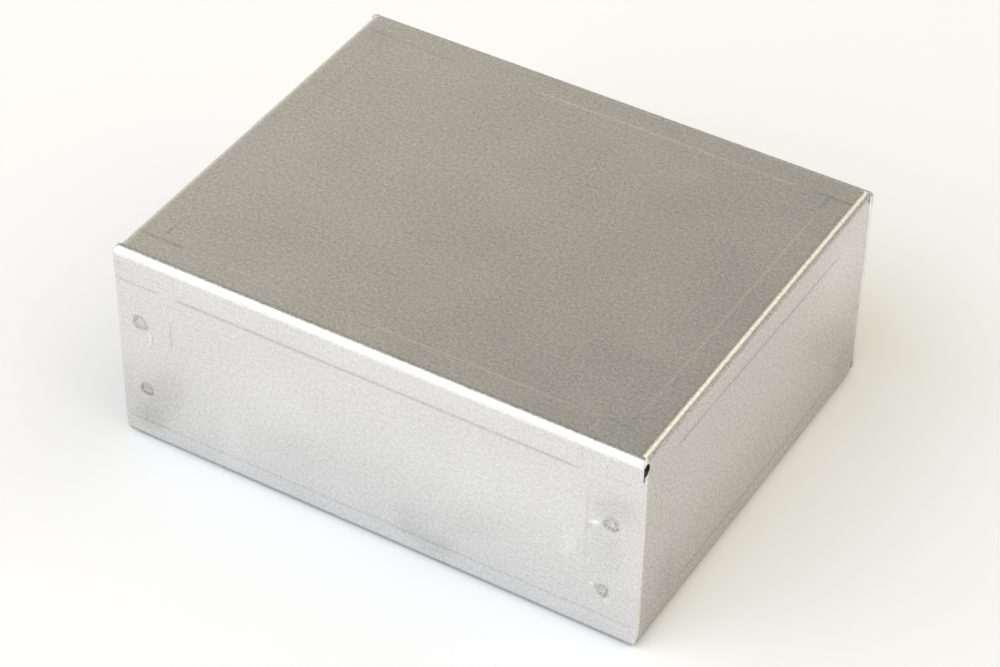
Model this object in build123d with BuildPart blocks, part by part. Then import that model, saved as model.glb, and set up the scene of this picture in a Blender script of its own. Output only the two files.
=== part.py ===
from build123d import *
from math import atan2, degrees, pi
import os

# Electronics chassis: one aluminium sheet folded into a box that is open below.
# X runs along the long walls, the front is at -Y, and it rests on the plane Z = 0.
# The blank is cut at each corner. A tab on the end wall tucks behind the long wall,
# two spot welds hold it there, and a round relief lets the three folds meet.

# Outside sizes
length = 127.0
width = 101.6
height = 51.8

# Sheet and folds
sheet = 1.0
fold_radius = 1.8  # outside of every fold
flange = 12.7  # turned in along the foot of all four walls

# Tabs at the upright corners
seam = 0.1  # between a long wall and the tab behind it
end_inset = 0.2  # end walls stand just inside the cut ends of the long walls
tab = 13.5  # reach of a tab along the long wall
tab_gap = 0.7  # from the tab's two edges to the folds above and below it
tab_bevel = 2.0  # on the tab's free corners

# Reliefs at the top corners
relief_radius = 2.0
relief_drop = 2.6  # from the top panel down to the centre of the relief
relief_back = 0.45  # from the long wall's face back to that centre
ear_set = 0.5  # the long fold's end is sheared off from this far in
ear_drop = 0.3  # down to this far below the top panel

# Mitres between the flanges
mitre_rise = 2.6  # the cut starts this far up the end of the long wall

# Spot welds: distance in from the cut end, and height above the base
front_left_welds = [(5.8, 33.3), (6.2, 14.8)]
front_right_welds = [(6.7, 32.2), (8.1, 13.1)]
back_left_welds = [(6.9, 32.6), (6.4, 13.8)]
back_right_welds = [(6.1, 33.0), (7.2, 14.5)]
nugget_radius = 1.4  # fused metal between the two sheets
dish_radius = 2.1  # mark that the electrode leaves, outside and inside
dish_floor = 1.2
dish_depth = 0.2

half_length = length / 2
half_width = width / 2
end_face = half_length - end_inset
tab_face = half_width - sheet - seam
tab_foot = fold_radius + tab_gap
relief_height = height - relief_drop

# On the flat blank the mitre runs in as far as it runs along, also round the fold
fold_run = pi / 2 * (fold_radius - sheet / 2)
mitre_set = mitre_rise - fold_radius + fold_run

# Places of the welds in X and Z, for the front wall at -1 and the back wall at 1
welds = {
    -1: [(inset - half_length, rise) for inset, rise in front_left_welds]
    + [(half_length - inset, rise) for inset, rise in front_right_welds],
    1: [(inset - half_length, rise) for inset, rise in back_left_welds]
    + [(half_length - inset, rise) for inset, rise in back_right_welds],
}
dish_taper = degrees(atan2(dish_radius - dish_floor, dish_depth))

with BuildPart() as end_walls:
    # Top panel, end walls and their flanges, folded as one channel
    with BuildSketch(Plane.XZ):
        with Locations((0, height / 2)):
            RectangleRounded(2 * end_face, height, fold_radius)
        offset(amount=-sheet, mode=Mode.SUBTRACT)
        Rectangle(2 * (end_face - flange), 2 * fold_radius, mode=Mode.SUBTRACT)
    extrude(amount=tab_face, both=True)
    with BuildSketch():
        RectangleRounded(2 * end_face, 2 * tab_face, fold_radius)
    extrude(amount=height, mode=Mode.INTERSECT)

    # The flange is mitred at 45 degrees from the point where the tab's fold starts
    with BuildSketch():
        with BuildLine():
            Polyline(
                (end_face, tab_face),
                (end_face, tab_face - fold_radius),
                (end_face - fold_radius, tab_face - fold_radius),
                (end_face - fold_radius - flange, tab_face - fold_radius - flange),
                (end_face - fold_radius - flange, tab_face),
                close=True,
            )
        make_face()
        mirror(about=Plane.XZ)
        mirror(about=Plane.YZ)
    extrude(amount=tab_foot, mode=Mode.SUBTRACT)

    # Tabs, turned in at both edges of each end wall
    with BuildSketch(Plane.XY.offset(tab_foot)):
        RectangleRounded(2 * end_face, 2 * tab_face, fold_radius)
        offset(amount=-sheet, mode=Mode.SUBTRACT)
        Rectangle(2 * (end_face - tab), width, mode=Mode.SUBTRACT)
    extrude(amount=height - 2 * tab_foot)
    tab_tips = end_walls.edges().filter_by(Axis.Y)
    tab_tips = tab_tips.filter_by_position(Axis.X, tab / 2 - end_face, end_face - tab / 2)
    tab_tips = tab_tips.filter_by_position(Axis.Z, fold_radius, height - fold_radius)
    chamfer(tab_tips, tab_bevel)

    # Reliefs through the upright folds, just under the top panel
    for end in (-1, 1):
        with BuildSketch(Plane.YZ.offset(end * (end_face - fold_radius))):
            for side in (-1, 1):
                with Locations((side * (half_width - relief_back), relief_height)):
                    Circle(relief_radius)
        extrude(amount=end * 2 * fold_radius, mode=Mode.SUBTRACT)

with BuildPart() as long_walls:
    # Top panel, long walls and their flanges, out to the cut ends
    with BuildSketch(Plane.YZ):
        with Locations((0, height / 2)):
            RectangleRounded(width, height, fold_radius)
        offset(amount=-sheet, mode=Mode.SUBTRACT)
        Rectangle(width - 2 * flange, 2 * fold_radius, mode=Mode.SUBTRACT)
    extrude(amount=half_length, both=True)

    # Between the long folds, the top panel stops where the end folds start
    with BuildSketch(Plane.XY.offset(height)):
        Rectangle(length, width - 2 * fold_radius)
        Rectangle(2 * (end_face - fold_radius), width, mode=Mode.SUBTRACT)
    extrude(amount=-fold_radius, mode=Mode.SUBTRACT)

    # The mitre across the flat of the flange
    with BuildSketch():
        with BuildLine():
            Polyline(
                (half_length, half_width - fold_radius),
                (half_length - mitre_set, half_width - fold_radius),
                (half_length - mitre_set - flange, half_width - fold_radius - flange),
                (half_length, half_width - fold_radius - flange),
                close=True,
            )
        make_face()
        mirror(about=Plane.XZ)
        mirror(about=Plane.YZ)
    extrude(amount=fold_radius, mode=Mode.SUBTRACT)

    # At the cut ends: the mitre's start and the sheared end of the fold
    for side in (-1, 1):
        with BuildSketch(Plane.XZ.offset(-side * half_width)):
            with BuildLine():
                Polyline(
                    (half_length, 0),
                    (half_length, mitre_rise),
                    (half_length - mitre_set, 0),
                    close=True,
                )
            make_face()
            with BuildLine():
                Polyline(
                    (half_length, height),
                    (half_length, height - ear_drop),
                    (half_length - ear_set, height),
                    close=True,
                )
            make_face()
            mirror(about=Plane.YZ)
        extrude(amount=side * fold_radius, mode=Mode.SUBTRACT)

with BuildPart() as chassis:
    add(end_walls.part)
    add(long_walls.part)

    # Spot welds, with the electrodes' dishes on both sides of the two sheets
    for side in (-1, 1):
        with BuildSketch(Plane.XZ.offset(-side * tab_face)):
            with Locations(*welds[side]):
                Circle(nugget_radius)
        extrude(amount=-side * seam)
        with BuildSketch(Plane.XZ.offset(-side * half_width)):
            with Locations(*welds[side]):
                Circle(dish_radius)
        extrude(amount=side * dish_depth, taper=dish_taper, mode=Mode.SUBTRACT)
        with BuildSketch(Plane.XZ.offset(-side * (tab_face - sheet))):
            with Locations(*welds[side]):
                Circle(dish_radius)
        extrude(amount=-side * dish_depth, taper=dish_taper, mode=Mode.SUBTRACT)

chassis.part.label = "chassis"
os.makedirs("parts", exist_ok=True)
export_step(chassis.part, "parts/chassis.step")
print("volume", round(chassis.part.volume), "solids", len(chassis.solids()))
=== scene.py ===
import math
import bpy
import numpy as np
from mathutils import Matrix, Vector


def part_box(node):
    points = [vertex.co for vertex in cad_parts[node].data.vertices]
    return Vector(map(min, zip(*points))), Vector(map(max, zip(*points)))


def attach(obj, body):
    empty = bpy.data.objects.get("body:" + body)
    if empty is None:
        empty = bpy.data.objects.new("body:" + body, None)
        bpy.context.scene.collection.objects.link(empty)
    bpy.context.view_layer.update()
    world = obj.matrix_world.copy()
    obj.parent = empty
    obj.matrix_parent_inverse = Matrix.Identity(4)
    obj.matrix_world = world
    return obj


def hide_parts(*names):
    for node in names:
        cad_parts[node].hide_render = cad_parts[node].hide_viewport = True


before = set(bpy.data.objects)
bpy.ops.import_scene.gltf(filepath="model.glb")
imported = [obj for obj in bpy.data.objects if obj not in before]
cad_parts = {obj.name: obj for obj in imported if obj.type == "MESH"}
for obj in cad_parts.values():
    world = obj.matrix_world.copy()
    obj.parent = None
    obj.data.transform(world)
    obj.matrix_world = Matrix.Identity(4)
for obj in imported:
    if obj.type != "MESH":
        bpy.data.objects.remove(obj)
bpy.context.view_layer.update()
print("frame loaded")

# Lengths are in millimetres until a mesh or a lamp is made
mm = 0.001
low, high = (np.array(corner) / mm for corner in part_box("chassis"))

# What a user would change on the folded sheet
sheet = {
    "thickness": 1.0,
    "foldRadius": 1.8,  # outside of every fold
    "squareness": 4.5,  # of the upright folds, where 2 is a circle
    "flange": 12.7,
    "endInset": 0.2,  # end walls stand inside the long walls' cut ends
    "seam": 0.1,  # between a long wall and the tab behind it
    "tabReach": 13.5,
    "tabTop": 2.5,  # from the top panel and from the base to the tab's edges
    "tabBevel": 2.0,
    "rollover": 0.14,  # rounding of a sheared edge on the outside
    "burr": 0.07,  # and on the inside
    "edgeShare": 0.42,  # of the nearest grid step that such a rounding may take
    "mitreRise": 2.0,  # the mitre starts this far up the long walls' cut ends
    "mitreEase": 1.5,  # 1 cuts the foot's fold at an even slope, more cuts it later
    "heel": 1.9,  # width of the upright fold that carries on down to the foot
    "heelDrop": 0.4,  # share of the foot's fold that it reaches down
}
halfLength = (high[0] - low[0]) / 2
halfWidth = (high[1] - low[1]) / 2
height = high[2]
radius = sheet["foldRadius"]
foldArc = radius * math.pi / 2
wallFlat = height - 2 * radius
endFace = halfLength - sheet["endInset"]
tabFace = halfWidth - sheet["thickness"] - sheet["seam"]
tabFold = tabFace - radius  # where the upright fold starts
cornerV = tabFold + foldArc  # and where it ends, on the flat blank


def between(a, b, x):
    # 0 below a, 1 above b, and an S-shaped step between them
    t = np.clip((x - a) / (b - a), 0, 1)
    return t * t * (3 - 2 * t)


def runs(*stops):
    # Grid lines from (place, count) stops: count equal steps lead up to each place
    out = [stops[0][0]]
    for (a, _), (b, count) in zip(stops, stops[1:]):
        out += list(np.linspace(a, b, count + 1)[1:])
    return np.array(out)


def section(s, face):
    # Height and reach of the folded wall after a walk of s from the top panel's edge:
    # a quarter turn down, the flat wall, a quarter turn in, then the flange
    down = np.clip(s, 0, foldArc)
    flat = np.clip(s - foldArc, 0, wallFlat)
    turn = np.clip(s - foldArc - wallFlat, 0, foldArc)
    inward = np.clip(s - 2 * foldArc - wallFlat, 0, None)
    out = face - radius + radius * np.sin(down / radius) - radius * (1 - np.cos(turn / radius)) - inward
    up = height - radius + radius * np.cos(down / radius) - flat - radius * np.sin(turn / radius)
    return out, up


def fromTop(z):
    # The walk s of a height z on the flat of a wall
    return foldArc + height - radius - z


# Grid lines along the long walls, as insets from a cut end, closer together round the welds
insets = runs(
    (0, 0), (0.4, 1), (2.0, 4), (3.2, 3), (10.4, 24), (11.6, 3), (16.4, 4), (24.0, 3), (halfLength, 9),
)
endLines = halfLength - insets[::-1]
xLines = np.concatenate([-endLines[:0:-1], endLines])
# and down the walls, as heights on the flat, closer together at the welds and press marks
wallHeights = runs(
    (height - radius, 0), (47.0, 6), (44.6, 4), (43.0, 8), (36.0, 5), (30.0, 20), (17.6, 6), (10.8, 21),
    (7.0, 4), (4.8, 12), (2.5, 4), (radius, 1),
)
endHeights = runs(
    (height - radius, 0), (47.33, 7), (45.43, 5), (42.8, 12), (36.0, 4), (30.0, 9), (17.6, 5), (10.8, 10),
    (7.0, 3), (4.4, 10), (2.5, 3), (radius, 1),
)


def walk(heights):
    # The whole walk down a wall: fold, flat, fold, flange
    fold = runs((0, 0), (foldArc, 10))[:-1]
    foot = runs((0, 0), (foldArc, 8))[1:] + foldArc + wallFlat
    lip = foot[-1] + np.array([0.6, 1.4, 2.6, 4.4, 6.6, 8.8, 10.2, sheet["flange"] - radius])
    return np.concatenate([fold, fromTop(heights), foot, lip])


wallWalk, endWalk = walk(wallHeights), walk(endHeights)
mitreStart = fromTop(sheet["mitreRise"])
footWalk = fromTop(sheet["tabTop"])
tabTops = {"front": 46.19, "back": 47.33}  # where the tabs' folds start, below the reliefs

# Cut ends of the long walls, by the walk down them: how far the shear has rounded off the outside of
# the fold, and how far the punch has torn back the inside beside a relief
earRound = {"walk": (0, 0.7, 1.4, 2.1, 2.8, 3.6),
            "front": (0.72, 0.62, 0.50, 0.27, 0.05, 0.0), "back": (0.85, 0.75, 0.60, 0.30, 0.05, 0.0)}
tornInside = {"walk": (0, 0.7, 1.2, 2.2, 3.0, 4.0, 5.2, 6.0, 6.7),
              "front": (0.0, 0.0, 0.0, 0.25, 0.5, 0.62, 0.55, 0.30, 0.0),
              "back": (0.95, 0.9, 0.85, 0.6, 0.45, 0.3, 0.2, 0.1, 0.0)}
cutFade = 5.0  # along the wall, how far in from its end both are gone


def longEnd(s):
    # Where a long wall ends along X: straight down, then mitred from just above the foot's fold
    foldRun = math.pi / 2 * (radius - sheet["thickness"] / 2)
    bend = (np.clip(s - foldArc - wallFlat, 0, foldArc) / foldArc) ** sheet["mitreEase"] * foldRun
    lip = np.clip(s - 2 * foldArc - wallFlat, 0, None)
    rise = np.clip(s - mitreStart, 0, sheet["mitreRise"] - radius)
    return halfLength - rise - bend - lip


def cutBack(points, flat, shape):
    # Shift along a long wall, full at its cut end and gone further in
    x = points[:, 0]
    s = np.abs(flat[:, 1]) - (halfWidth - radius)
    onLong = (np.abs(flat[:, 0] - x) < 0.001) & (s > -0.001)
    front, back = (np.interp(s, shape["walk"], shape[key]) for key in ("front", "back"))
    share = np.clip(1 - (halfLength - np.abs(x)) / cutFade, 0, 1)
    shift = np.zeros_like(points)
    shift[:, 0] = -np.sign(x) * np.where(onLong, np.where(flat[:, 1] < 0, front, back) * share, 0)
    return shift


# The end walls' side of the reliefs, open like a drop at the front and a mere nick at the back:
# walk down the wall, and how far past the start of the upright fold the sheet ends there
reliefs = {
    "front": {"walk": (0, 0.5, 1.4, 2.3, 2.75, 3.25, 3.8, 4.35, 5.0, 5.5, 5.9, 6.25, 6.63),
              "end": (1.1, 1.3, 1.5, 1.3, 0.85, 0.52, 0.33, 0.37, 0.68, 0.95, 1.25, 1.7, foldArc)},
    "back": {"walk": (0, 0.5, 1.4, 2.3, 2.7, 3.05, 3.4, 4.2, 5.5),
             "end": (1.1, 1.3, 1.5, 1.45, 0.8, 0.55, 0.9, 1.6, foldArc)},
}
# The grid's lines give way to the shaped ends from these places outwards, in X on the long walls, at
# the top and lower down, and in Y on the end walls, at the reliefs and at the mitres
giveWay = {"topX": halfLength - 2.0, "footX": 36.0, "untilWalk": 12.0, "reliefY": 44.0, "mitreY": 28.0}


def endReach(s, v):
    # Squeezes the columns v so that the outermost one follows the relief
    front, back = (tabFold + np.interp(s, shape["walk"], shape["end"]) for shape in reliefs.values())
    reach = np.where(v < 0, front, back)
    share = np.clip((np.abs(v) - giveWay["reliefY"]) / (cornerV - giveWay["reliefY"]), 0, 1)
    return v + np.sign(v) * (reach - cornerV) * share


# Columns across the end walls and the top panel, on the flat blank
half = runs((0, 0), (38.0, 9), (42.5, 2), (44.3, 9), (46.2, 2), (tabFold, 2), (cornerV, 6))
vLines = np.concatenate([-half[:0:-1], half])


def topPanel():
    # Points in space, the same points on the flat blank, and which quads to keep (here all)
    inner = endLines[endLines <= endFace - radius + 0.01]
    x, v = np.meshgrid(np.concatenate([-inner[:0:-1], inner]), vLines, indexing="ij")
    y = endReach(0.0, v)
    return np.stack([x, y, np.full_like(x, height)], -1), np.stack([x, y], -1), None


def longWall(side):
    x, s = np.meshgrid(xLines, wallWalk, indexing="ij")
    start = np.where(s < giveWay["untilWalk"], giveWay["topX"], giveWay["footX"])
    give = np.clip((np.abs(x) - start) / (halfLength - start), 0, 1)
    x = x + np.sign(x) * (longEnd(s) - halfLength) * give
    out, up = section(s, halfWidth)
    return np.stack([x, side * out, up], -1), np.stack([x, side * (halfWidth - radius + s)], -1), None


def endWall(end):
    s, v = np.meshgrid(endWalk, vLines, indexing="ij")
    lip = np.clip(s - 2 * foldArc - wallFlat, 0, None)
    share = np.clip((np.abs(v) - giveWay["mitreY"]) / (tabFold - giveWay["mitreY"]), 0, 1)
    v2 = np.where(s > footWalk, v - share * np.sign(v) * lip, endReach(s, v))
    out, up = section(s, endFace)

    # The upright fold is a superellipse: a circle whose radius grows towards the corner
    q = np.clip(np.abs(v2) - tabFold, 0, None)  # walked past the start of the upright fold
    turned = between(0, foldArc, s)
    c, r = np.abs(np.cos(q / radius)), np.abs(np.sin(q / radius))
    power = sheet["squareness"]
    full = radius / (c ** power + r ** power) ** (1 / power)
    x = out - turned * (radius - full * c)
    y = np.minimum(np.abs(v2), tabFold) + (1 - turned) * q + turned * full * r

    # Below the tab only the heel of that fold is left, and below the heel only the flange
    across = np.abs(v[:-1, :-1] + v[1:, 1:]) / 2
    heelWalk = foldArc * (1 + sheet["heelDrop"]) + wallFlat
    heel = (s[:-1, :-1] < heelWalk) & (across < tabFold + sheet["heel"])
    keep = (s[:-1, :-1] < footWalk - 0.01) | (across < tabFold) | heel
    flat = np.stack([end * (endFace - radius + s), v2], -1)
    return np.stack([end * x, np.sign(v2) * y, up], -1), flat, keep


def tab(end, side):
    # Behind a long wall: its upper edge rises to full height past the fold, and its free corners are cut
    start = fromTop(tabTops["front" if side < 0 else "back"])
    rows = endWalk[(endWalk > start - 0.01) & (endWalk < footWalk + 0.01)]
    reach = sheet["tabReach"] - radius
    cols = runs((0, 0), (0.5, 1), (2.6, 3), (8.6, 10), (10.2, 2), (reach, 2))
    s, q = np.meshgrid(rows, cols, indexing="ij")
    _, z = section(s, endFace)
    corner = np.clip(q - (reach - sheet["tabBevel"]), 0, None)
    rise = height - sheet["tabTop"] - z.max() - corner
    upperFrom, lowerFrom = 36.0, 10.0  # heights from which the rows give way
    upper = np.clip((z - upperFrom) / (z.max() - upperFrom), 0, 1) * np.where(q > 0, rise, 0)
    lower = np.clip((lowerFrom - z) / (lowerFrom - z.min()), 0, 1) * corner
    flat = np.stack([end * (endFace - radius + s), side * (cornerV + q)], -1)
    up = z + upper + lower
    return np.stack([end * (endFace - radius - q), np.full_like(q, side * tabFace), up], -1), flat, None


def gridFaces(shape, start, flip, keep):
    # Corner numbers of the grid's quads, counted from start
    n = np.arange(shape[0] * shape[1]).reshape(shape) + start
    quads = np.stack([n[:-1, :-1], n[1:, :-1], n[1:, 1:], n[:-1, 1:]], -1)
    quads = quads[keep] if keep is not None else quads.reshape(-1, 4)
    return quads[:, ::-1] if flip else quads


def joinBlocks(blocks):
    # Puts the blocks together and merges the points where they meet, to a ten-thousandth of a millimetre
    points, flats, quads, start = [], [], [], 0
    for (block, flat, keep), flip in blocks:
        quads.append(gridFaces(block.shape[:2], start, flip, keep))
        points.append(block.reshape(-1, 3))
        flats.append(flat.reshape(-1, 2))
        start += points[-1].shape[0]
    points, flats, quads = np.concatenate(points), np.concatenate(flats), np.concatenate(quads)
    key = np.round(points * 1e4 + 0.137).astype(np.int64)
    _, first, same = np.unique(key, axis=0, return_index=True, return_inverse=True)
    quads = same.reshape(-1)[quads]
    used, quads = np.unique(quads, return_inverse=True)
    return points[first][used], flats[first][used], quads.reshape(-1, 4)


def pointNormals(points, quads):
    # Area-weighted mean of the faces round each point
    a, b, c, d = (points[quads[:, k]] for k in range(4))
    face = np.cross(c - a, d - b)
    sums = np.zeros_like(points)
    for k in range(4):
        np.add.at(sums, quads[:, k], face)
    return sums / np.linalg.norm(sums, axis=1, keepdims=True)


sheetPoints, sheetFlat, sheetQuads = joinBlocks([
    (topPanel(), False),
    (longWall(-1), True), (longWall(1), False),
    (endWall(1), False), (endWall(-1), True),
    (tab(1, 1), False), (tab(1, -1), True), (tab(-1, 1), True), (tab(-1, -1), False),
])
sheetNormals = pointNormals(sheetPoints, sheetQuads)
print("blank folded:", len(sheetPoints), "points", len(sheetQuads), "faces")

# Spot welds: the dish that the electrode presses outside and inside, its raised rim, the pip in the
# middle, and the burnt ring and smudge round it
weldMarks = {
    "depth": 0.17, "dish": 1.75, "insideDepth": 0.15, "insideDish": (0.7, 1.9),
    "rim": 2.15, "rimHeight": 0.05, "rimWidth": 0.35, "rimWave": 0.6,
    "pip": 0.07, "pipAt": (0.3, -0.2), "pipSize": 0.55,
    "ring": 1.45, "ringSides": (0.08, 0.6), "ringTone": -0.24,
    "wobble": (0.12, 0.06),  # in three and in seven lobes, since no ring is quite round
    "openAt": 60, "openTurn": 61, "openSides": (0.3, 0.95), "openBy": 0.75,  # where the ring is open
    "core": (0.1, 0.5), "coreAt": (0.2, -0.3), "coreShare": 0.6,
    "smudge": (0.9, 2.5), "smudgeTone": -0.14, "scribble": 0.45,
    # which long wall, which end, inset from the cut end, height, size
    "places": [
        (-1, -1, 5.8, 33.3, 1.1),
        (-1, -1, 6.2, 14.8, 0.95),
        (-1, 1, 6.7, 32.2, 1.0),
        (-1, 1, 8.1, 13.1, 0.9),
        (1, -1, 6.9, 32.6, 1.0),
        (1, -1, 6.4, 13.8, 0.95),
        (1, 1, 6.1, 33.0, 1.05),
        (1, 1, 7.2, 14.5, 0.95),
    ],
}


def weldRise(points, normals):
    # Rise of the outer face over the plain sheet, by the distance r from each weld: an S-shaped dish,
    # and bell-shaped bumps for its rim, which waves as it goes round, and for its pip
    x, y, z = points.T
    rise = np.zeros(len(points))
    for side, end, inset, up, size in weldMarks["places"]:
        onWall = (normals[:, 1] * side > 0.9) & (y * side > halfWidth - 0.05)
        dx, dz = x - end * (halfLength - inset), z - up
        r = np.hypot(dx, dz) / size
        dish = -weldMarks["depth"] * (1 - between(0.4 * weldMarks["dish"], weldMarks["dish"], r))
        rim = weldMarks["rimHeight"] * np.exp(-(((r - weldMarks["rim"]) / weldMarks["rimWidth"]) ** 2))
        rim *= 1 + weldMarks["rimWave"] * np.sin(np.arctan2(dz, dx) * 2 + up + side)
        pipX, pipZ = weldMarks["pipAt"]
        pip = weldMarks["pip"] * np.exp(-((np.hypot(dx - pipX, dz - pipZ) / weldMarks["pipSize"]) ** 2))
        rise += np.where(onWall, dish + rim + pip, 0)
    return rise


def insideDishes(points, normals):
    # How deep the electrodes have pressed into the tabs from inside
    deep = np.zeros(len(points))
    for side, end, inset, up, size in weldMarks["places"]:
        behind = (np.abs(points[:, 1] - side * tabFace) < 0.01) & (np.abs(normals[:, 1]) > 0.9)
        r = np.hypot(points[:, 0] - end * (halfLength - inset), points[:, 2] - up) / size
        deep += np.where(behind, weldMarks["insideDepth"] * (1 - between(*weldMarks["insideDish"], r)), 0)
    return deep


def faceViews(points, normals):
    # For each face of the box: which points lie on it, and the two coordinates along and across it
    x, y, z = points.T
    return {"front": (normals[:, 1] < -0.95, x, z), "back": (normals[:, 1] > 0.95, x, z),
            "right": (normals[:, 0] > 0.95, y, z), "left": (normals[:, 0] < -0.95, y, z),
            "top": (normals[:, 2] > 0.95, x, y), "topEnds": (normals[:, 2] > 0.95, y, x)}


# What the press brake's edges have left, as seen from outside: face, start, end, place across, drift
# over the length, half width, depth and tone. "top" lines run along X and "topEnds" lines along Y.
brakeMarks = [
    ("front", -48.0, 49.5, 43.75, 0.0, 0.42, 0.018, -0.20),
    ("front", -63.5, -52.1, 43.6, 0.0, 0.36, 0.012, -0.18),
    ("front", 53.5, 62.5, 44.6, 0.0, 0.36, 0.008, -0.07),
    ("front", -62.5, 63.0, 5.4, 0.7, 0.36, 0.010, -0.10),
    ("front", -63.5, -61.3, 47.8, 0.0, 0.36, 0.0, -0.22),
    ("front", -63.2, -50.0, 46.2, 0.0, 0.5, 0.0, -0.04),
    ("right", -35.8, -21.5, 45.2, -0.1, 0.52, 0.012, -0.20),
    ("right", -21.5, 37.2, 45.0, -1.6, 0.48, 0.014, -0.20),
    ("right", -33.8, 38.2, 5.4, 0.0, 0.42, 0.010, -0.13),
    ("back", -50.0, 48.0, 43.8, 0.0, 0.42, 0.014, -0.18),
    ("back", -60.0, 61.0, 5.7, -0.3, 0.36, 0.010, -0.10),
    ("left", -37.0, 36.0, 44.0, 0.4, 0.45, 0.012, -0.18),
    ("left", -38.0, 37.0, 5.5, 0.2, 0.40, 0.010, -0.12),
    ("top", -14.5, 48.7, 43.2, 0.0, 0.28, 0.012, 0.30),
    ("top", -61.5, -36.5, 43.9, -0.7, 0.50, 0.0, -0.10),
    ("top", 52.3, 62.5, 43.2, 0.0, 0.50, 0.0, -0.26),
    ("top", -4.0, 49.5, -43.5, 0.2, 0.28, 0.012, 0.30),
    ("top", -50.0, -4.0, -43.9, 0.3, 0.30, 0.008, 0.08),
    ("top", -62.0, -50.0, -43.6, 0.0, 0.45, 0.0, -0.20),
    ("top", 51.2, 57.0, -43.0, -0.2, 0.36, 0.0, -0.20),
    ("topEnds", -35.1, 36.4, 55.9, 0.8, 0.30, 0.012, 0.36),
    ("topEnds", 38.2, 43.4, 56.6, 0.0, 0.50, 0.0, -0.26),
    ("topEnds", -42.2, -38.1, 55.4, 0.0, 0.36, 0.0, -0.26),
    ("topEnds", -42.0, -36.0, -56.2, 0.0, 0.40, 0.0, -0.16),
    ("topEnds", -34.0, 34.0, -55.8, 0.2, 0.36, 0.008, 0.0),
    ("topEnds", 10.0, 43.0, -55.6, 0.0, 0.60, 0.0, -0.06),
]
# A line fades in over these millimetres from its ends, and out over these half widths at its sides
lineFade = {"ends": (-0.2, 1.2), "sides": (0.2, 1.5)}


def brakeLines(points, normals):
    # Depth and tone: each line has a bell-shaped trough, soft sides, and fades out at both ends
    faces = faceViews(points, normals)
    depth, tone = np.zeros(len(points)), np.zeros(len(points))
    for face, start, end, at, drift, wide, deep, change in brakeMarks:
        on, along, across = faces[face]
        gap = np.abs(across - at - drift * (along - start) / (end - start)) / wide
        ends = between(*lineFade["ends"], along - start) * between(*lineFade["ends"], end - along)
        run = np.where(on, ends, 0)
        depth += run * deep * np.exp(-(gap ** 2))
        tone += run * change * (1 - between(*lineFade["sides"], gap))
    return depth, tone


# Smudges, rubbed patches, flecks and dots: face, place along and across, half length, half width,
# turn in degrees and tone
spotMarks = [
    ("front", -53.5, 14.0, 16.0, 7.5, 60, -0.10),
    ("front", -57.0, 6.5, 6.0, 5.0, 0, -0.08),
    ("front", 15.0, 6.0, 9.0, 5.0, 0, -0.09),
    ("front", 9.5, 10.0, 4.0, 9.0, -25, -0.07),
    ("front", 24.0, 16.0, 16.0, 6.0, 20, -0.04),
    ("front", -12.0, 17.0, 22.0, 7.0, 10, -0.03),
    ("front", -34.5, 12.0, 12.0, 2.4, 80, 0.05),
    ("front", -36.0, 3.5, 3.0, 1.5, 70, 0.07),
    ("front", 47.5, 22.0, 6.5, 1.6, 78, 0.07),
    ("front", 57.5, 36.5, 7.5, 5.5, 35, -0.09),
    ("front", 56.5, 25.0, 5.0, 9.0, 0, -0.06),
    ("front", 30.0, 32.0, 24.0, 9.0, 5, 0.025),
    ("front", -49.8, 28.6, 0.75, 0.62, 0, -0.34),
    ("front", -55.4, 30.3, 0.42, 0.75, 10, 0.32),
    ("front", -54.9, 30.2, 0.35, 0.6, 10, -0.30),
    ("front", 53.2, 31.1, 1.65, 0.75, 31, 0.30),
    ("front", 52.2, 29.9, 0.6, 0.55, 0, -0.18),
    ("front", 52.9, 13.8, 0.62, 0.75, 0, 0.26),
    ("front", 53.8, 13.6, 0.35, 1.15, 20, -0.20),
    ("front", 56.6, 10.8, 1.0, 0.8, 0, 0.14),
    ("front", -57.6, 12.6, 1.7, 0.4, -42, 0.12),
    ("front", -55.8, 14.4, 1.2, 0.36, -20, 0.18),
    ("front", -55.2, 15.3, 0.9, 0.3, -45, 0.16),
    ("front", 57.1, 32.3, 0.45, 0.75, 15, 0.16),
    ("right", 33.0, 22.0, 22.0, 8.0, -38, -0.06),
    ("right", 44.0, 8.0, 9.0, 7.0, -40, -0.08),
    ("right", 38.0, 40.0, 14.0, 8.0, -20, 0.05),
    ("right", -38.0, 12.0, 6.0, 10.0, 0, -0.03),
    ("right", -17.5, 43.4, 0.9, 0.4, 20, 0.10),
    ("right", -46.0, 22.0, 30.0, 44.0, 0, -0.02),
    ("right", 42.0, 38.0, 27.0, 22.0, 0, 0.06),
    ("back", 40.0, 18.0, 16.0, 8.0, 30, -0.08),
    ("back", -20.0, 10.0, 14.0, 6.0, -10, -0.06),
    ("back", -46.0, 28.0, 1.3, 0.5, 40, 0.14),
    ("left", -20.0, 16.0, 16.0, 7.0, 25, -0.07),
    ("left", 28.0, 30.0, 12.0, 6.0, -30, -0.05),
    ("top", 55.9, -20.7, 0.5, 0.5, 0, 0.22),
    ("top", -56.5, 42.0, 6.5, 4.0, 0, -0.05),
    ("top", 57.0, -44.0, 8.0, 5.0, 10, -0.05),
    ("top", 36.0, 8.0, 26.0, 20.0, 30, 0.02),
    ("top", -30.0, -12.0, 24.0, 16.0, -20, 0.02),
]


def handling(points, normals):
    # Change of tone that handling leaves: each spot is an ellipse, full in the middle, with a soft edge
    faces = faceViews(points, normals)
    tone = np.zeros(len(points))
    for face, atAlong, atAcross, length, width, turn, change in spotMarks:
        on, along, across = faces[face]
        c, s = math.cos(math.radians(turn)), math.sin(math.radians(turn))
        da, db = along - atAlong, across - atAcross
        r = np.hypot((da * c + db * s) / length, (db * c - da * s) / width)
        tone += np.where(on, change * (1 - between(0.25, 1.0, r)), 0)
    return tone


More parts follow.
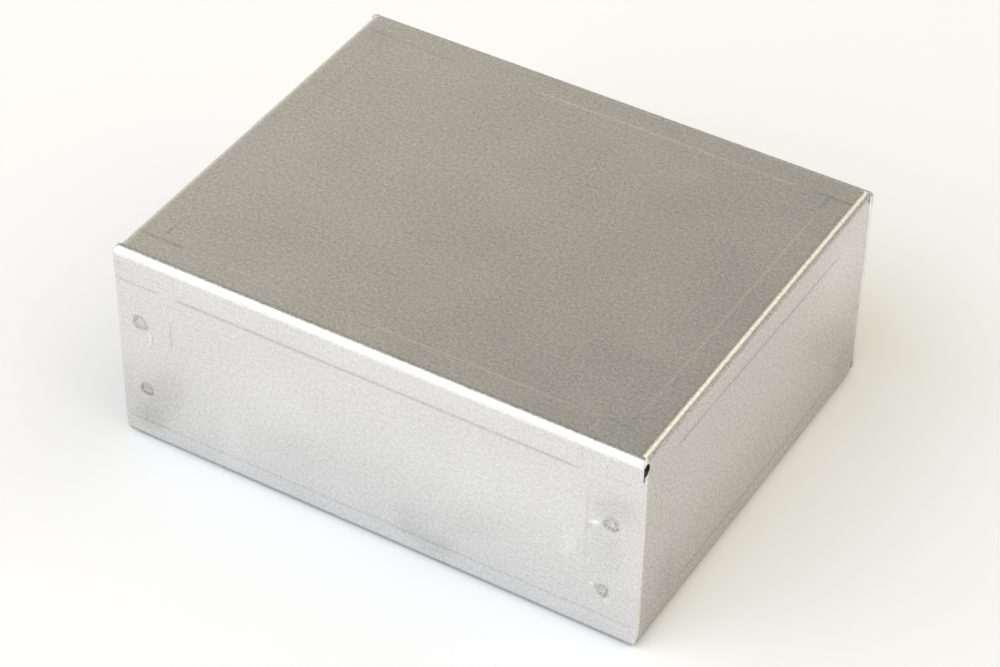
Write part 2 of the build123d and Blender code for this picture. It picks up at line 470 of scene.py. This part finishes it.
def weldTone(points, normals):
    # Round each weld, on both sides of the two sheets: a dark ring, open on one side, and a smudge
    x, y, z = points.T
    tone = np.zeros(len(points))
    for side, end, inset, up, size in weldMarks["places"]:
        here = (y * side > tabFold - radius) & (np.abs(normals[:, 1]) > 0.9)
        dx, dz = x - end * (halfLength - inset), z - up
        turn = np.arctan2(dz, dx)
        r = np.hypot(dx, dz) / size
        three, seven = weldMarks["wobble"]
        r += three * np.sin(3 * turn + inset) + seven * np.sin(7 * turn + up)
        openAt = math.radians(weldMarks["openAt"] + weldMarks["openTurn"] * inset)
        closed = 1 - weldMarks["openBy"] * between(*weldMarks["openSides"], np.cos(turn - openAt))
        ring = closed * (1 - between(*weldMarks["ringSides"], np.abs(r - weldMarks["ring"])))
        coreX, coreZ = weldMarks["coreAt"]
        core = weldMarks["coreShare"] * (1 - between(*weldMarks["core"], np.hypot(dx - coreX, dz - coreZ)))
        smudge = 1 - between(*weldMarks["smudge"], r)
        tone += np.where(here, weldMarks["ringTone"] * (ring - core) + weldMarks["smudgeTone"] * smudge, 0)
    # Short waves that cross each other make the marks blotchy
    scribble = np.sin(4.1 * x + 2.3 * z) * np.sin(3.7 * z - 2.6 * x + 1.3) + 0.6 * np.sin(7.3 * x - 5.1 * z)
    return tone * (1 + weldMarks["scribble"] * scribble)


# Painted light on the folds: a painted highlight on the lower half of the long ones, painted shade where
# they start and where the end ones finish, and a painted contact shadow along the foot. Each entry has the
# walls, how far a face has to look their way, the tone, and the slopes of the face between which the
# tone comes in and goes again, where a wall has 0, the top panel 1 and the foot -1
foldLightPaint = [
    ("long", 0.3, 0.28, (0.0, 0.06), (0.45, 0.75)),
    ("long", 0.1, -0.28, (0.86, 0.90), (0.985, 0.998)),
    ("end", 0.3, -0.28, (0.01, 0.16), (0.42, 0.72)),
    ("long", 0.3, -0.34, (-1.0, -0.9), (-0.3, -0.02)),
    ("end", 0.3, -0.6, (-1.0, -0.9), (-0.4, -0.2)),
]


def band(value, rising, falling):
    # 0 outside, 1 inside, with an S-shaped step at both sides
    return between(*rising, value) * (1 - between(*falling, value))


# Painted highlight and shade on the folds, by the slope of each face
def paintedFoldLight(normals):
    facing = {"long": np.abs(normals[:, 1]), "end": np.abs(normals[:, 0])}
    tone = np.zeros(len(normals))
    for walls, least, change, rising, falling in foldLightPaint:
        tone += np.where(facing[walls] > least, change * band(normals[:, 2], rising, falling), 0)
    return tone


# Tone of the sheared edges, and painted light and shade in four places, each a soft box along X, across
# Y and up Z: painted shade on the dark rims and insides at the front and the back reliefs and on the
# inside of the fold's ends at the back, and painted light where an upright fold and the long wall beside it
# throw light at each other
rims = {
    "edgeTone": 0.06, "reliefShade": -0.95, "earShade": -0.30, "grooveLight": 0.26,
    "frontRelief": [((59.5, 61.5), (64.0, 65.0)), ((46.5, 48.0), (52.0, 53.0)),
                    ((46.2, 47.0), (50.0, 50.8))],
    "backRelief": [((59.5, 61.5), (62.7, 63.0)), ((48.3, 48.8), (52.0, 53.0)),
                   ((48.8, 49.3), (50.2, 50.6))],
    "backEar": [((61.0, 61.6), (64.0, 65.0)), ((48.6, 49.0), (52.0, 53.0)),
                ((50.2, 50.6), (53.0, 54.0))],
    "groove": [((61.2, 62.0), (64.0, 65.0)), ((48.4, 48.9), (50.0, 50.3)),
               ((2.0, 4.0), (47.5, 49.0))],
}


def inBox(points, name):
    along, across, up = rims[name]
    x, y, z = np.abs(points).T
    return band(x, *along) * band(y, *across) * band(z, *up)


# Painted shade in the reliefs: dark rims and insides
def cornerShade(points):
    return np.where(points[:, 1] < 0, inBox(points, "frontRelief"), inBox(points, "backRelief"))


# Slow bows of the panels, which vanish at the folds: height in the middle, height of the ripple on it,
# and how fast and from where the ripple runs in the panel's two directions
bows = {
    "top": {"rise": -0.08, "ripple": -0.025, "wave": (17.0, 23.0), "start": 0.0},
    "wall": {"rise": 0.05, "ripple": 0.025, "wave": (14.0, 19.0), "start": 0.8},
    "end": {"rise": 0.04, "ripple": 0.02, "wave": (12.0, -17.0), "start": 0.0},
}


def bowing(points, normals):
    # Rise of each face: half a wave from fold to fold, and the ripple within it
    x, y, z = points.T
    along = np.cos(np.clip(x / halfLength, -1, 1) * math.pi / 2)
    across = np.cos(np.clip(y / halfWidth, -1, 1) * math.pi / 2)
    upright = np.sin(np.clip(z / height, 0, 1) * math.pi)
    faces = [
        ("top", normals[:, 2] > 0.98, along * across, along * across, x, y),
        ("wall", np.abs(normals[:, 1]) > 0.98, upright * along, upright, x, z),
        ("end", np.abs(normals[:, 0]) > 0.98, upright * across, upright, y, z),
    ]
    rise = np.zeros(len(points))
    for name, on, middle, around, first, second in faces:
        bow = bows[name]
        ripple = np.sin(first / bow["wave"][0] + second / bow["wave"][1] + bow["start"])
        rise += np.where(on, bow["rise"] * middle + bow["ripple"] * around * ripple, 0)
    return rise


def edgeList(quads):
    return quads.reshape(-1), np.roll(quads, -1, axis=1).reshape(-1)


def freeEdges(points, quads):
    # The edges that belong to one quad only
    a, b = edgeList(quads)
    pair = np.minimum(a, b) * len(points) + np.maximum(a, b)
    _, same, uses = np.unique(pair, return_inverse=True, return_counts=True)
    free = uses[same] == 1
    return a[free], b[free]


def thicken(points, normals, quads, outerRise, innerRise, outerShift, innerShift):
    # A closed shell: the outer face, the same face set in by the thickness, and along every free edge
    # a rim whose profile is a small quarter round, the sheared flat and a smaller quarter round
    a, b = freeEdges(points, quads)
    edge = np.unique(np.concatenate([a, b]))

    # Which way the edge looks at each of its points, longer at a corner
    along = points[b] - points[a]
    outward = np.cross(along / np.linalg.norm(along, axis=1)[:, None], normals[a])
    outward /= np.linalg.norm(outward, axis=1, keepdims=True)
    sums = np.zeros_like(points)
    np.add.at(sums, a, outward)
    np.add.at(sums, b, outward)
    size = np.linalg.norm(sums[edge], axis=1, keepdims=True)
    push = sums[edge] / size * np.clip(2 / size, 1, 1.6)

    # The roundings stay small where the grid is fine
    reach = np.full(len(points), np.inf)
    first, second = edgeList(quads)
    span = np.linalg.norm(points[first] - points[second], axis=1)
    np.minimum.at(reach, first, span)
    np.minimum.at(reach, second, span)
    roll = np.minimum(sheet["rollover"], sheet["edgeShare"] * reach[edge])[:, None]
    burr = np.minimum(sheet["burr"], sheet["edgeShare"] * reach[edge])[:, None]

    outer = points + normals * outerRise[:, None] + outerShift
    inner = points + normals * (innerRise - sheet["thickness"])[:, None] + innerShift
    outer[edge] -= push * roll
    inner[edge] -= push * burr
    p, n = points[edge], normals[edge]
    outerEdge, innerEdge = outerShift[edge], innerShift[edge]
    top = outerRise[edge][:, None]
    bottom = innerRise[edge][:, None] - sheet["thickness"]
    early = 1 - math.sqrt(0.5)  # halfway round a quarter circle
    deep = roll + np.abs(outerEdge[:, :1])
    profile = [
        p + n * (top - deep * early) - push * roll * early + outerEdge * early,
        p + n * (top - deep),
        p + n * (bottom + burr) + innerEdge,
        p + n * (bottom + burr * early) - push * burr * early + innerEdge,
    ]
    vertices = np.concatenate([outer, inner] + profile)

    # Rings of points from the outer face, over the profile, to the inner face, and the quads between
    order = np.full(len(points), -1)
    order[edge] = np.arange(len(edge))
    rings = [2 * len(points) + k * len(edge) for k in range(len(profile))]
    rows = [(a, b)] + [(ring + order[a], ring + order[b]) for ring in rings]
    rows.append((a + len(points), b + len(points)))
    rim = [np.stack([b1, a1, a2, b2], -1) for (a1, b1), (a2, b2) in zip(rows, rows[1:])]
    return vertices, np.concatenate([quads, quads[:, ::-1] + len(points)] + rim), edge


grooves, lineTone = brakeLines(sheetPoints, sheetNormals)
bow = bowing(sheetPoints, sheetNormals)
shell, shellFaces, sheetEdge = thicken(
    sheetPoints, sheetNormals, sheetQuads,
    bow + weldRise(sheetPoints, sheetNormals) - grooves, bow + insideDishes(sheetPoints, sheetNormals),
    cutBack(sheetPoints, sheetFlat, earRound), cutBack(sheetPoints, sheetFlat, tornInside))


# Folds are shaded smooth and sheared edges sharp, which part at this angle in degrees
sharpFrom = 50


def makeMesh(name, vertices, faces):
    mesh = bpy.data.meshes.new(name)
    mesh.vertices.add(len(vertices))
    mesh.vertices.foreach_set("co", (vertices * mm).astype(np.float32).ravel())
    mesh.loops.add(faces.size)
    mesh.loops.foreach_set("vertex_index", faces.astype(np.int32).ravel())
    mesh.polygons.add(len(faces))
    mesh.polygons.foreach_set("loop_start", (np.arange(len(faces)) * 4).astype(np.int32))
    mesh.update(calc_edges=True)
    mesh.validate()
    mesh.polygons.foreach_set("use_smooth", np.ones(len(mesh.polygons), bool))
    mesh.set_sharp_from_angle(angle=math.radians(sharpFrom))
    piece = bpy.data.objects.new(name, mesh)
    bpy.context.scene.collection.objects.link(piece)
    return piece


def inOneRow(values, inside, edge):
    # Values of the outer face, the inner face and the four rings of the rim, in one row
    return np.concatenate([values, inside, np.full(4 * len(sheetEdge), edge)])


def setAttribute(mesh, name, values):
    mesh.attributes.new(name, "FLOAT", "POINT").data.foreach_set("value", values.astype(np.float32))


foldedSheet = makeMesh("folded_sheet", shell, shellFaces)
mesh = foldedSheet.data

# The flat blank as the piece's own map: the outer face, the inner face beside it and the rims above it
mapApart = 200
inner = sheetFlat + [mapApart, 0]
rim = sheetFlat[sheetEdge] + [0, mapApart]
blankMap = np.concatenate([sheetFlat, inner, rim, rim, rim, rim]) * mm
corners = np.zeros(len(mesh.loops), np.int32)
mesh.loops.foreach_get("vertex_index", corners)
mesh.uv_layers.new(name="blank").uv.foreach_set("vector", blankMap[corners].astype(np.float32).ravel())

plain = np.zeros(len(sheetPoints))
setAttribute(mesh, "cutEdge", inOneRow(plain, plain, 1.0))
onEnds = between(0.5, 0.9, np.abs(sheetNormals[:, 0]))
setAttribute(mesh, "endWall", inOneRow(onEnds, onEnds, 0.0))

# Wear lies on the outer face, with painted light and shade on the folds; the welds, the painted light in
# the grooves and the painted shade in the dark corners reach the inside as well
weldShade = weldTone(sheetPoints, sheetNormals)
outerTone = handling(sheetPoints, sheetNormals) + paintedFoldLight(sheetNormals) + lineTone + weldShade
wearAndLight = inOneRow(outerTone, weldShade, rims["edgeTone"])
inside = shell[len(sheetPoints):]
insideTone = rims["grooveLight"] * inBox(inside, "groove") + rims["reliefShade"] * cornerShade(inside)
insideTone += rims["earShade"] * inBox(inside, "backEar") * (inside[:, 1] > 0)
wearAndLight += np.concatenate([rims["grooveLight"] * inBox(sheetPoints, "groove"), insideTone])
setAttribute(mesh, "wearAndLight", wearAndLight)
print("shell closed:", len(shell), "points", len(shellFaces), "faces")
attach(foldedSheet, "root")
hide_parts("chassis")


def link(tree, socket, value):
    # A node's output is linked to the socket, and a plain number is set on it
    if isinstance(value, bpy.types.NodeSocket):
        tree.links.new(value, socket)
    else:
        socket.default_value = value


def calc(tree, operation, *values):
    node = tree.nodes.new("ShaderNodeMath")
    node.operation = operation
    for socket, value in zip(node.inputs, values):
        link(tree, socket, value)
    return node.outputs[0]


def scaled(tree, vector, amount):
    node = tree.nodes.new("ShaderNodeVectorMath")
    node.operation = "SCALE"
    link(tree, node.inputs[0], vector)
    link(tree, node.inputs["Scale"], amount)
    return node.outputs[0]


def step(tree, value, a, b, before=0.0, after=1.0):
    # S-shaped step between a and b
    node = tree.nodes.new("ShaderNodeMapRange")
    node.interpolation_type = "SMOOTHSTEP"
    link(tree, node.inputs["Value"], value)
    node.inputs["From Min"].default_value = a
    node.inputs["From Max"].default_value = b
    node.inputs["To Min"].default_value = before
    node.inputs["To Max"].default_value = after
    return node.outputs[0]


def total(tree, values):
    out = values[0]
    for value in values[1:]:
        out = calc(tree, "ADD", out, value)
    return out


def attribute(tree, name):
    node = tree.nodes.new("ShaderNodeAttribute")
    node.attribute_name = name
    return node.outputs["Fac"]


def noise(tree, vector, scale, detail=2.0, stretch=(1, 1, 1), at=(0, 0, 0)):
    # Noise centred on 0, about -1 to 1, at so many features a millimetre, drawn out by the stretch
    middle, spread = 0.5, 3.2  # of the plain texture, and what brings it to -1 to 1
    mapping = tree.nodes.new("ShaderNodeMapping")
    link(tree, mapping.inputs["Vector"], vector)
    mapping.inputs["Location"].default_value = at
    mapping.inputs["Scale"].default_value = [scale * factor for factor in stretch]
    texture = tree.nodes.new("ShaderNodeTexNoise")
    texture.inputs["Scale"].default_value = 1.0
    texture.inputs["Detail"].default_value = detail
    link(tree, texture.inputs["Vector"], mapping.outputs[0])
    return calc(tree, "MULTIPLY", calc(tree, "SUBTRACT", texture.outputs[0], middle), spread)


def softLineGroup():
    # 1 on a straight line with soft sides, from start to end
    tree = bpy.data.node_groups.new("softLine", "ShaderNodeTree")
    for label in ("Along", "Across", "Start", "End", "At", "Width"):
        tree.interface.new_socket(label, in_out="INPUT", socket_type="NodeSocketFloat")
    tree.interface.new_socket("Mask", in_out="OUTPUT", socket_type="NodeSocketFloat")
    given = tree.nodes.new("NodeGroupInput").outputs
    gap = calc(tree, "ABSOLUTE", calc(tree, "SUBTRACT", given["Across"], given["At"]))
    body = step(tree, calc(tree, "DIVIDE", gap, given["Width"]), *lineFade["sides"], 1.0, 0.0)
    first = step(tree, calc(tree, "SUBTRACT", given["Along"], given["Start"]), *lineFade["ends"])
    last = step(tree, calc(tree, "SUBTRACT", given["End"], given["Along"]), *lineFade["ends"])
    mask = calc(tree, "MULTIPLY", body, calc(tree, "MULTIPLY", first, last))
    tree.links.new(mask, tree.nodes.new("NodeGroupOutput").inputs["Mask"])
    return tree


softLine = softLineGroup()

# Mill-finish aluminium. Each amount is a share of the colour unless its note says otherwise.
finish = {
    # The end walls' colour is warmer: painted warm light from the right
    "colour": (0.745, 0.742, 0.735), "endLightColour": (0.740, 0.720, 0.690), "roughness": 0.37,
    "grain": 0.31, "wallCalm": 0.13, "endGrain": 0.11,  # less of it on the walls, more on the end walls
    "fineGrain": 3.0, "coarseGrain": 1.2, "coarseShare": 0.6,  # features a millimetre
    "edgeGrain": 0.1,  # what is left of it on the sheared edges
    "streaks": 0.022, "streakSize": 1.5, "streakStretch": (0.035, 1.0, 1), "streakRough": 0.035,
    "clouds": 0.035, "cloudSize": 0.045, "cloudStretch": (1, 1, 1.3), "cloudRough": 0.03,
    "lowShade": 0.11, "lowShadeFrom": 30.0, "lowShadeTo": 2.0,  # painted shade, darker towards the base, heights
    "endShade": 0.14,  # painted shade, the end walls darker
    "wallTop": (50.6, 49.4),  # heights between which the top fold gives way to the wall
    "edgeRough": 0.12, "wearAndLightRough": -0.3,  # added to the roughness
    "relief": 0.012, "grainRelief": 0.5, "streakRelief": 0.12,  # millimetres, and the shares of it
}
# Upright scratches and end marks, drawn by the material: face, start, end, place, tone, half width
fineLines = [
    ("frontUp", 44.2, 50.0, -48.2, -0.07, 0.3),
    ("frontUp", 44.2, 50.0, 49.7, -0.08, 0.3),
    ("frontUp", 28.6, 36.9, -49.8, -0.16, 0.28),
    ("frontUp", 20.0, 43.0, 51.3, -0.06, 0.5),
    ("rightUp", 3.0, 30.0, -36.6, -0.05, 0.5),
    ("topEnds", -49.0, -43.4, 49.8, 0.12, 0.3),
]
# Strips on the front that the tool has burnished or dulled: start, end, low, high, tone
stripMarks = [
    (-48.2, 49.7, 44.3, 50.4, 0.022),
    (51.5, 64.0, 21.0, 43.0, -0.030),
]

aluminium = bpy.data.materials.new("mill_aluminium")
aluminium.use_nodes = True
tree = aluminium.node_tree
shader = tree.nodes["Principled BSDF"]

# Places in millimetres: on the flat blank and on the folded piece
blank = tree.nodes.new("ShaderNodeUVMap")
blank.uv_map = "blank"
blankPlace = scaled(tree, blank.outputs[0], 1 / mm)
foldedPlace = scaled(tree, tree.nodes.new("ShaderNodeTexCoord").outputs["Object"], 1 / mm)
blankXY = tree.nodes.new("ShaderNodeSeparateXYZ")
tree.links.new(blankPlace, blankXY.inputs[0])
u, v = blankXY.outputs[0], blankXY.outputs[1]
foldedXYZ = tree.nodes.new("ShaderNodeSeparateXYZ")
tree.links.new(foldedPlace, foldedXYZ.inputs[0])
z = foldedXYZ.outputs[2]


def lineMask(along, across, start, end, at, width):
    node = tree.nodes.new("ShaderNodeGroup")
    node.node_tree = softLine
    given = {"Along": along, "Across": across, "Start": start, "End": end, "At": at, "Width": width}
    for label, value in given.items():
        link(tree, node.inputs[label], value)
    return node.outputs["Mask"]


def fineLine(face, start, end, at, width):
    # Places a line given on a face on the flat blank
    if face == "topEnds":
        return lineMask(v, u, start, end, at, width)
    if face == "rightUp":
        reach = endFace - radius
        return lineMask(u, v, reach + fromTop(end), reach + fromTop(start), at, width)
    reach = halfWidth - radius
    return lineMask(v, u, -reach - fromTop(start), -reach - fromTop(end), at, width)


cutEdge = attribute(tree, "cutEdge")
# Wear, marks and painted light and shade, in one attribute
wornAndLit = attribute(tree, "wearAndLight")
onWall = step(tree, z, *finish["wallTop"])
onEnd = calc(tree, "MULTIPLY", attribute(tree, "endWall"), onWall)
# Painted shade: darker towards the base
lowShadeMask = step(tree, z, finish["lowShadeFrom"], finish["lowShadeTo"])

fine = noise(tree, blankPlace, finish["fineGrain"], 1.0)
coarse = noise(tree, blankPlace, finish["coarseGrain"], 1.0)
grain = calc(tree, "ADD", fine, calc(tree, "MULTIPLY", coarse, finish["coarseShare"]))
grain = calc(tree, "MULTIPLY", grain, step(tree, cutEdge, 0.0, 1.0, 1.0, finish["edgeGrain"]))
grainShare = calc(tree, "MULTIPLY_ADD", onWall, -finish["wallCalm"], finish["grain"])
grainShare = calc(tree, "MULTIPLY_ADD", onEnd, finish["endGrain"], grainShare)
streak = noise(tree, blankPlace, finish["streakSize"], 3.0, finish["streakStretch"], (0, 40, 0))
cloud = noise(tree, foldedPlace, finish["cloudSize"], 3.0, finish["cloudStretch"], (5, 9, 2))

tones = [
    calc(tree, "MULTIPLY", grain, grainShare),
    calc(tree, "MULTIPLY", streak, finish["streaks"]),
    calc(tree, "MULTIPLY", cloud, finish["clouds"]),
    calc(tree, "MULTIPLY", lowShadeMask, -finish["lowShade"]),
    calc(tree, "MULTIPLY", onEnd, -finish["endShade"]),
]
for face, start, end, at, tone, width in fineLines:
    tones.append(calc(tree, "MULTIPLY", fineLine(face, start, end, at, width), tone))
for start, end, bottom, top, tone in stripMarks:
    middle = radius - halfWidth - fromTop((bottom + top) / 2)
    mask = lineMask(u, v, start, end, middle, (top - bottom) / 2.2)  # soft sides reach past the width
    tones.append(calc(tree, "MULTIPLY", mask, tone))
tones.append(wornAndLit)
shade = calc(tree, "ADD", total(tree, tones), 1.0)

# Painted warm light: the end walls take the warmer colour
endLightTint = tree.nodes.new("ShaderNodeMix")
endLightTint.data_type = "RGBA"
tree.links.new(onEnd, endLightTint.inputs[0])
endLightTint.inputs[6].default_value = (*finish["colour"], 1)  # sockets 6 and 7 hold the node's two colours
endLightTint.inputs[7].default_value = (*finish["endLightColour"], 1)
tree.links.new(scaled(tree, endLightTint.outputs[2], shade), shader.inputs["Base Color"])
shader.inputs["Metallic"].default_value = 1.0
rough = total(tree, [
    finish["roughness"],
    calc(tree, "MULTIPLY", streak, finish["streakRough"]),
    calc(tree, "MULTIPLY", cloud, finish["cloudRough"]),
    calc(tree, "MULTIPLY", cutEdge, finish["edgeRough"]),
    calc(tree, "MULTIPLY", wornAndLit, finish["wearAndLightRough"]),
])
tree.links.new(rough, shader.inputs["Roughness"])
bump = tree.nodes.new("ShaderNodeBump")
bump.inputs["Strength"].default_value = 1.0
bump.inputs["Distance"].default_value = finish["relief"] * mm
relief = calc(tree, "ADD", calc(tree, "MULTIPLY", grain, finish["grainRelief"]),
              calc(tree, "MULTIPLY", streak, finish["streakRelief"]))
tree.links.new(relief, bump.inputs["Height"])
tree.links.new(bump.outputs[0], shader.inputs["Normal"])
mesh.materials.append(aluminium)
print("finish made")

# Table, a hair below the foot so that the two faces don't coincide
stage = {"size": 6, "drop": 0.01, "colour": (0.938, 0.940, 0.962, 1), "roughness": 0.9}
bpy.ops.mesh.primitive_plane_add(size=stage["size"], location=(0, 0, -stage["drop"] * mm))
table = bpy.context.object
table.name = "table"
cloth = bpy.data.materials.new("pale_table")
cloth.use_nodes = True
cloth.node_tree.nodes["Principled BSDF"].inputs["Base Color"].default_value = stage["colour"]
cloth.node_tree.nodes["Principled BSDF"].inputs["Roughness"].default_value = stage["roughness"]
table.data.materials.append(cloth)

# The room that the metal mirrors. Each light has a direction, and the cosines to it between which the
# light comes in: bright in front and beside, less where the two would add up, grey behind, with a
# cream glow high up at the back right, a dusk low down there, and a warm edge round the front light.
room = {
    "front": (-0.35, -0.85, 0.40), "frontFrom": 0.44, "frontTo": 0.74, "frontLight": (1.22, 1.265, 1.440),
    "warmEdge": (0.0, -0.03, -0.50), "warmFrom": 0.42, "warmTo": 0.66,
    "side": (0.75, -0.15, 0.64), "sideFrom": 0.55, "sideTo": 0.90, "sideLight": (1.19, 1.14, 0.985),
    "gap": (0.50, -0.76, 0.41), "gapFrom": 0.77, "gapTo": 0.95, "gapBy": 0.68,
    # The grey changes with height and across, starting from what the middle of the top panel mirrors
    "back": (0.392, 0.371, 0.316), "rise": -2.0, "across": -1.4, "riseAt": 0.649, "acrossAt": -0.385,
    "span": 0.47, "darkest": 0.5, "brightest": 2.0,
    "dusk": (0.72, 0.69, -0.02), "duskFrom": 0.87, "duskTo": 0.985, "duskBy": 0.8,
    "glow": (0.40, 0.66, 0.63), "glowFrom": 0.91, "glowTo": 0.985, "glowLight": (1.22, 1.15, 0.85),
}
world = bpy.data.worlds.new("room")
bpy.context.scene.world = world
world.use_nodes = True
sky = world.node_tree
direction = sky.nodes.new("ShaderNodeTexCoord").outputs["Generated"]


def towards(vector):
    # How far the ray points along a direction
    dot = sky.nodes.new("ShaderNodeVectorMath")
    dot.operation = "DOT_PRODUCT"
    sky.links.new(direction, dot.inputs[0])
    dot.inputs[1].default_value = Vector(vector).normalized()
    return dot.outputs["Value"]


def added(a, b):
    node = sky.nodes.new("ShaderNodeVectorMath")
    node.operation = "ADD"
    sky.links.new(a, node.inputs[0])
    sky.links.new(b, node.inputs[1])
    return node.outputs[0]


frontward = towards(room["front"])
inFront = step(sky, frontward, room["frontFrom"], room["frontTo"])
warmPeak = (room["warmFrom"] + room["warmTo"]) / 2
onEdge = calc(sky, "MULTIPLY", step(sky, frontward, room["warmFrom"], warmPeak),
              step(sky, frontward, warmPeak, room["warmTo"], 1.0, 0.0))
frontLight = added(scaled(sky, room["frontLight"], inFront), scaled(sky, room["warmEdge"], onEdge))
beside = step(sky, towards(room["side"]), room["sideFrom"], room["sideTo"])
gap = step(sky, towards(room["gap"]), room["gapFrom"], room["gapTo"], 1.0, 1 - room["gapBy"])
nearLight = scaled(sky, added(frontLight, scaled(sky, room["sideLight"], beside)), gap)

upward = calc(sky, "SUBTRACT", towards((0, 0, 1)), room["riseAt"])
rightward = calc(sky, "SUBTRACT", towards((1, 0, 0)), room["acrossAt"])
slope = total(sky, [
    1.0,
    calc(sky, "MULTIPLY", upward, room["rise"] / room["span"]),
    calc(sky, "MULTIPLY", rightward, room["across"] / room["span"]),
])
grey = calc(sky, "MAXIMUM", calc(sky, "MINIMUM", slope, room["brightest"]), room["darkest"])
dusk = step(sky, towards(room["dusk"]), room["duskFrom"], room["duskTo"], 1.0, 1 - room["duskBy"])
behind = calc(sky, "MULTIPLY", calc(sky, "MULTIPLY", grey, dusk), calc(sky, "SUBTRACT", 1.0, inFront))
glow = step(sky, towards(room["glow"]), room["glowFrom"], room["glowTo"])
farLight = added(scaled(sky, room["back"], behind), scaled(sky, room["glowLight"], glow))
sky.links.new(added(nearLight, farLight), sky.nodes["Background"].inputs["Color"])


def backwards(azimuth, elevation):
    # From the middle of the object towards a lamp or camera at these angles, in radians
    return Vector((math.sin(azimuth) * math.cos(elevation),
                   -math.cos(azimuth) * math.cos(elevation), math.sin(elevation)))


window = {"azimuth": -30, "elevation": 45, "distance": 1.6, "size": (1.6, 1.4),
          "watts": 7.4, "colour": (0.97, 0.99, 1.04)}
lamp = bpy.data.lights.new("window", "AREA")
lamp.shape = "RECTANGLE"
lamp.size, lamp.size_y = window["size"]
lamp.energy = window["watts"]
lamp.color = window["colour"]
back = backwards(math.radians(window["azimuth"]), math.radians(window["elevation"]))
holder = bpy.data.objects.new("window", lamp)
turned = back.to_track_quat("Z", "Y").to_matrix().to_4x4()
holder.matrix_world = Matrix.Translation(back * window["distance"]) @ turned
bpy.context.scene.collection.objects.link(holder)

# The camera stands where the photograph was taken from
view = {"azimuth": 30.435, "elevation": 40.488, "roll": 0.894, "distance": 665.46,
        "target": (3.88, -5.26, 25.0), "focalPixels": 3088.48, "imageWidth": 1000}
azimuth, elevation, roll = (math.radians(view[angle]) for angle in ("azimuth", "elevation", "roll"))
back = backwards(azimuth, elevation)
level = (-back).cross(Vector((0, 0, 1))).normalized()
upright = level.cross(-back)
right = math.cos(roll) * level + math.sin(roll) * upright
up = math.cos(roll) * upright - math.sin(roll) * level
eye = (Vector(view["target"]) + back * view["distance"]) * mm
lens = bpy.data.cameras.new("camera")
lens.sensor_width = 36
lens.lens = view["focalPixels"] / view["imageWidth"] * lens.sensor_width
lens.clip_start = 0.01
camera = bpy.data.objects.new("camera", lens)
camera.matrix_world = Matrix.Translation(eye) @ Matrix((right, up, back)).transposed().to_4x4()
bpy.context.scene.collection.objects.link(camera)
bpy.context.scene.camera = camera
bpy.context.scene.view_settings.view_transform = "Standard"
print("stage set")
